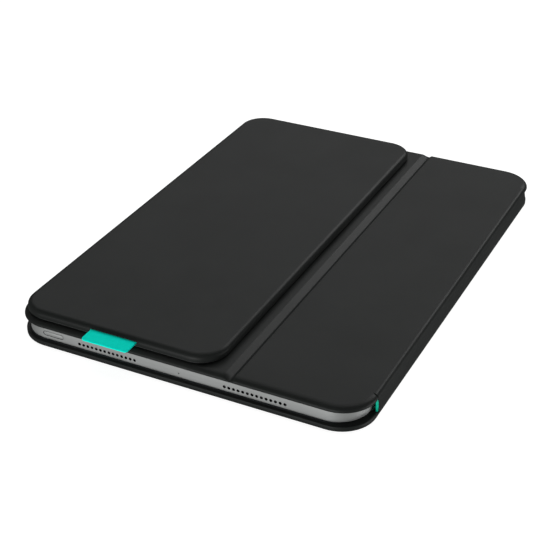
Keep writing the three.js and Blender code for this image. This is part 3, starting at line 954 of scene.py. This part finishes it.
def makeDeck(tree):
    v = deck
    z0 = deckBox["z0"]
    edge = v["edge"]
    outer = grown(deckBox, x0=v["rimInset"], x1=-v["rimInset"], y0=v["rimInset"], y1=-v["rimInset"])
    r = keyboard["cornerRadius"] - v["rimInset"]
    step = v["innerInset"] - v["rimInset"]
    profile = [(edge + capInset, z0)] + quarter((edge, z0), (0, z0 + edge), False, 5) + [
        (0, v["rimTop"]), (step, v["rimTop"]), (step, v["top"]), (v["innerInset"] + capInset, v["top"])]
    plate = slab("keyboard_top_deck", outer, (r, r), profile, deckPlastic, keyboard["stations"])
    well = cutterAround(boxOf(*keyLegends), v["wellMargin"], z0 - past, z0 + v["well"],
                        v["wellCorner"], deckPlastic)
    plate = cutWith(plate, well)
    drills = []
    skirt, crown = v["holeSteps"]
    for node in keyLegends:
        drills += capRows(tree, "key_hole", node, v["hole"], v["top"] + 2, {
            "Corner": v["holeCorner"] * mm, "Skirt": skirt * mm, "Crown": crown * mm, "Taper": 1.0,
            "Crown Taper": 1.0}, deckPlastic)
    for node, gap, travel, corner in (
        ("battery_door", v["doorGap"], 0, v["doorCorner"]),
        ("power_switch", v["knobGap"], v["knobTravel"], v["knobCorner"]),
    ):
        drills.append(cutterAround(grown(boxOf(node), y1=travel), gap, z0 - past, v["top"] + past,
                                   corner, deckPlastic))
    plate = cutWith(plate, joinAll("holes", drills))
    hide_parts("keyboard_deck")
    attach(plate, "keyboard")


def makeBatteryCover():
    v = batteryCover
    door = boxOf("battery_door")
    cover = roundedBlock("battery_cover", door, v["corner"], v["edge"], deckPlastic)
    cutters = []
    gap = v["screwGap"]
    for screw in ("door_screw_1", "door_screw_2"):
        b = boxOf(screw)
        cutters.append(cutterAround(b, gap, door["z0"] - past, door["z1"] + past,
                                    (b["x1"] - b["x0"]) / 2 + gap, deckPlastic))
    # finger grips: shallow grooves across the cover
    middle, half = (door["x0"] + door["x1"]) / 2, v["gripHalf"]
    for i in range(v["grips"]):
        y = door["y0"] + v["gripStart"] + i * v["gripPitch"]
        cutters.append(cutterBox(middle - half, middle + half, y, y + v["gripWide"],
                                 door["z0"] - past, door["z0"] + v["gripDeep"], v["gripCorner"],
                                 "Z", deckPlastic))
    cover = cutWith(cover, joinAll("cover_cutters", cutters))
    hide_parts("battery_door")
    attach(cover, "keyboard")


def makeSwitchKnob():
    v = switchKnob
    knob = boxOf("power_switch")
    body = roundedBlock("power_switch_knob", knob, v["corner"], v["edge"], capPlastic)
    grooves = []
    for i in range(v["grips"]):
        y = knob["y0"] + v["gripStart"] + i * v["gripPitch"]
        grooves.append(cutterBox(knob["x0"] + v["gripSide"], knob["x1"] - v["gripSide"], y,
                                 y + v["gripWide"], knob["z0"] - past, knob["z0"] + v["gripDeep"], 0,
                                 "Z", capPlastic))
    body = cutWith(body, joinAll("knob_grooves", grooves))
    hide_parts("power_switch")
    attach(body, "power_switch")


capTree = rowTree("keycap_row", capShape, {
    "Depth": 0.0132, "Width": 0.0146, "Corner": 0.0013, "Skirt": 0.0015, "Crown": 0.0004,
    "Taper": 0.96, "Crown Taper": 0.95})
for keyNode in keyLegends:
    makeKeycaps(capTree, keyNode)
    makeLegends(keyNode)
makeDeck(capTree)
makeBatteryCover()
makeSwitchKnob()
print("key side made")


# ---------- tablet ----------

tablet = {
    "cornerRadius": 16, "edge": 0.45, "stations": [-60, -30, 0, 30, 60],
    "lip": 0.85, "recess": 0.75, "glassGap": 0.06, "glassThick": 0.7, "glassRound": 0.2,
    "holes": 14, "rowShift": 0.5, "holePitch": 2.325, "firstHole": 23.5, "holeHeight": 2.35,
    "holeRadius": 0.78, "holeDeep": 1.3, "micRadius": 0.33, "port": (4.6, 1.35), "portHeight": 3.05,
    "buttonGap": 0.3, "buttonEdge": 0.14, "pocketDeep": 0.5,
}
# the lens from its middle out: distances inside its radius and above its lowest point
lensShape = {
    "seatGap": 0.12, "seatRoof": 0.1,
    "bezelFloor": 0.35, "bezel": [(1.0, 0.35), (0.9, 0.1), (0.7, 0), (0.2, 0), (0, 0.2)],
    "glassFloor": 0.12, "glass": [(1.6, 0.13), (1.08, 0.2), (1.03, 0.33)], "glassTop": 0.33,
}
tabletBox = boxOf("tablet_housing")
buttonNodes = {
    "tablet_power_button": "Y", "tablet_volume_up": "X", "tablet_volume_down": "X",
}


def tabletDrills():
    # speaker holes and a microphone in both short sides, and the charging port in the far one
    # the cut walls of these holes and of the port are given near-black painted shade
    v = tablet
    middle = (tabletBox["x0"] + tabletBox["x1"]) / 2 + v["rowShift"]
    height = tabletBox["z0"] + v["holeHeight"]
    tree = rowTree("hole_row", drillShape, {"Radius": 0.0006, "Deep": 0.002})
    made = []
    for faceY in (tabletBox["y0"], tabletBox["y1"]):
        rows = [(middle + v["firstHole"], v["holes"], v["holeRadius"]),
                (middle - v["firstHole"] - (v["holes"] - 1) * v["holePitch"], v["holes"], v["holeRadius"])]
        if faceY < 0:
            rows.append((middle, 1, v["micRadius"]))
        for firstX, count, radius in rows:
            made.append(makeRow(tree, "hole_drills", {
                "Count": count, "First": (firstX * mm, faceY * mm, height * mm),
                "Step": (v["holePitch"] * mm, 0, 0), "Radius": radius * mm,
                "Deep": 2 * v["holeDeep"] * mm, "Finish": paintedHoleShade}))
    wide, tall = v["port"]
    portZ = tabletBox["z0"] + v["portHeight"]
    made.append(cutterBox(middle - wide, middle + wide, tabletBox["y1"] - 3, tabletBox["y1"] + 1,
                          portZ - tall, portZ + tall, tall, "Y", paintedHoleShade))
    return made


def buttonPrism(name, node, axis, gap, inward, finish):
    # a pill-shaped prism that runs in through the tablet's side at a button
    b = boxOf(node)
    along, into = ("x", "y") if axis == "Y" else ("y", "x")
    b = grown(b, z0=-gap, z1=gap, **{
        along + "0": -gap, along + "1": gap, into + "0": -1, into + "1": inward})
    return roundedBlock(name, b, (b["z1"] - b["z0"]) / 2, 0, finish, axis, 8)


def makeTablet():
    v = tablet
    z0, z1 = tabletBox["z0"], tabletBox["z1"]
    e, r = v["edge"], v["cornerRadius"]
    stations = v["stations"]
    profile = softSide(z0, z1, e, e + capInset, 5)[:-1]
    profile += [(v["lip"], z1), (v["lip"], z1 - v["recess"]), (v["lip"] + 1, z1 - v["recess"])]
    body = slab("tablet_body", tabletBox, (r, r), profile, anodised, stations, 18)
    lens = boxOf("tablet_camera_lens")
    lensX, lensY = (lens["x0"] + lens["x1"]) / 2, (lens["y0"] + lens["y1"]) / 2
    lensR = (lens["x1"] - lens["x0"]) / 2
    seatR, seatTop = lensR + lensShape["seatGap"], lens["z1"] + lensShape["seatRoof"]
    # the lens seat and the button pockets give their cut walls near-black painted shade
    seat = lathe("lens_seat", (lensX, lensY), [
        (0, z0 - past), (seatR, z0 - past), (seatR, seatTop), (0, seatTop)], paintedHoleShade)
    pockets = [buttonPrism("pocket", node, axis, v["buttonGap"], v["pocketDeep"], paintedHoleShade)
               for node, axis in buttonNodes.items()]
    body = cutWith(body, joinAll("tablet_drills", tabletDrills() + pockets + [seat]))
    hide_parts("tablet_housing")
    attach(body, "tablet")
    g, thick, soft = v["lip"] + v["glassGap"], v["glassThick"], v["glassRound"]
    screen = slab("tablet_screen_glass", tabletBox, (r, r), [
        (g + capInset, z1 - thick), (g, z1 - thick), (g, z1 - soft), (g + 0.4 * soft, z1 - 0.3 * soft),
        (g + soft, z1), (g + soft + capInset, z1)], glass, stations, 18)
    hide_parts("tablet_glass")
    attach(screen, "tablet")

    # camera: a turned bezel with a glass that stands just inside it
    bottom, top = lens["z0"], lens["z1"]
    turned = [(lensR - inset, bottom + up) for inset, up in lensShape["bezel"]]
    bezel = lathe("camera_bezel", (lensX, lensY), [
        (0, bottom + lensShape["bezelFloor"])] + turned + [(lensR, top), (0, top)], anodised)
    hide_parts("tablet_camera_lens")
    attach(bezel, "tablet")
    turned = [(lensR - inset, bottom + up) for inset, up in lensShape["glass"]]
    cover = lathe("camera_glass", (lensX, lensY), [
        (0, bottom + lensShape["glassFloor"])] + turned + [(0, bottom + lensShape["glassTop"])], glass)
    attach(cover, "tablet")
    for node, axis in buttonNodes.items():
        pill = buttonPrism(node + "_pill", node, axis, 0, 0, anodised)
        outline = slab("tablet_outline", tabletBox, (r, r), [(0, z0 - past), (0, z1 + past)],
                       anodised, stations, 18)
        pill = edgeSoften(cutWith(pill, outline, keep=True), v["buttonEdge"], 2, 50)
        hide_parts(node)
        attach(pill, node)


makeTablet()
print("tablet made")


# ---------- finishes for the CAD pieces that stay as they are ----------

keptFinishes = {
    boardFibre: ["back_board", "inner_panel_board", "outer_panel_board"],
    solderMask: ["circuit_board"],
    domeRubber: ["dome_sheet"],
}
steelWords = ("magnet", "coin_cell", "screw", "key_plate")


def dressKeptNodes():
    for material, nodes in keptFinishes.items():
        for node in nodes:
            frame["nodes"][node].data.materials.clear()
            frame["nodes"][node].data.materials.append(material)
    for node in frame["nodes"]:
        if any(word in node for word in steelWords):
            frame["nodes"][node].data.materials.clear()
            frame["nodes"][node].data.materials.append(steel)


dressKeptNodes()
print("kept pieces dressed")


# ---------- floor, lights and camera ----------

studio = {"halfFloor": 3000, "floorDrop": 0.03, "floorGlow": 0.94, "airGlow": 0.1}
# name, where the light comes from, strength and spread in degrees
lights = [
    ("overhead_softbox", (-0.22, 0.56, 0.8), 1.12, 60),
    ("glint_softbox", (0.2, 0.78, 0.58), 0.78, 26),
    ("table_glow", (-0.12, -0.98, -0.12), 2.55, 45),
    ("side_glow", (0.94, 0.3, -0.2), 1.9, 50),
]
view = {"lens": 84.2, "sensor": 36, "eye": (0.2506, -0.5355, 0.345), "pitch": 59.0, "turn": 26.19}


def makeStudio():
    floorMaterial, tree, place, shader = newMaterial("pale_acrylic_table")
    mottled(tree, shader, place, ("9a9a9a", "a0a0a0"), 200)
    setValues(shader, Roughness=0.9, Specular_IOR_Level=0.1)
    shader.inputs["Emission Color"].default_value = (1, 1, 1, 1)
    shader.inputs["Emission Strength"].default_value = studio["floorGlow"]
    half = studio["halfFloor"]
    corners = [(x * half, y * half, -studio["floorDrop"]) for x, y in ((-1, -1), (1, -1), (1, 1), (-1, 1))]
    floor = addMesh("studio_floor", corners, [(0, 1, 2, 3)], floorMaterial)
    floor.visible_diffuse = False
    floor.visible_glossy = False
    floor.visible_shadow = False

    world = bpy.data.worlds.new("studio_air")
    world.use_nodes = True
    air = world.node_tree
    dim = air.nodes["Background"]
    dim.inputs["Color"].default_value = (1, 1, 1, 1)
    dim.inputs["Strength"].default_value = studio["airGlow"]
    pale = addNode(air, "ShaderNodeBackground", {"Color": (1, 1, 1, 1), "Strength": 1.0})
    seen = addNode(air, "ShaderNodeLightPath").outputs["Is Camera Ray"]
    both = addNode(air, "ShaderNodeMixShader", {0: seen, 1: dim.outputs[0], 2: pale.outputs[0]})
    air.links.new(both.outputs[0], air.nodes["World Output"].inputs["Surface"])
    bpy.context.scene.world = world
    bpy.context.scene.view_settings.view_transform = "Standard"

    for name, direction, strength, angle in lights:
        light = bpy.data.lights.new(name, "SUN")
        light.energy = strength
        light.angle = math.radians(angle)
        lamp = addObject(name, light)
        lamp.rotation_mode = "QUATERNION"
        lamp.rotation_quaternion = Vector(direction).to_track_quat("Z", "Y")


def makeCamera():
    data = bpy.data.cameras.new("camera")
    data.lens = view["lens"]
    data.sensor_width = view["sensor"]
    data.clip_start, data.clip_end = 0.01, 20
    eye = addObject("camera", data)
    eye.location = view["eye"]
    eye.rotation_euler = (math.radians(view["pitch"]), 0, math.radians(view["turn"]))
    bpy.context.scene.camera = eye


makeStudio()
makeCamera()
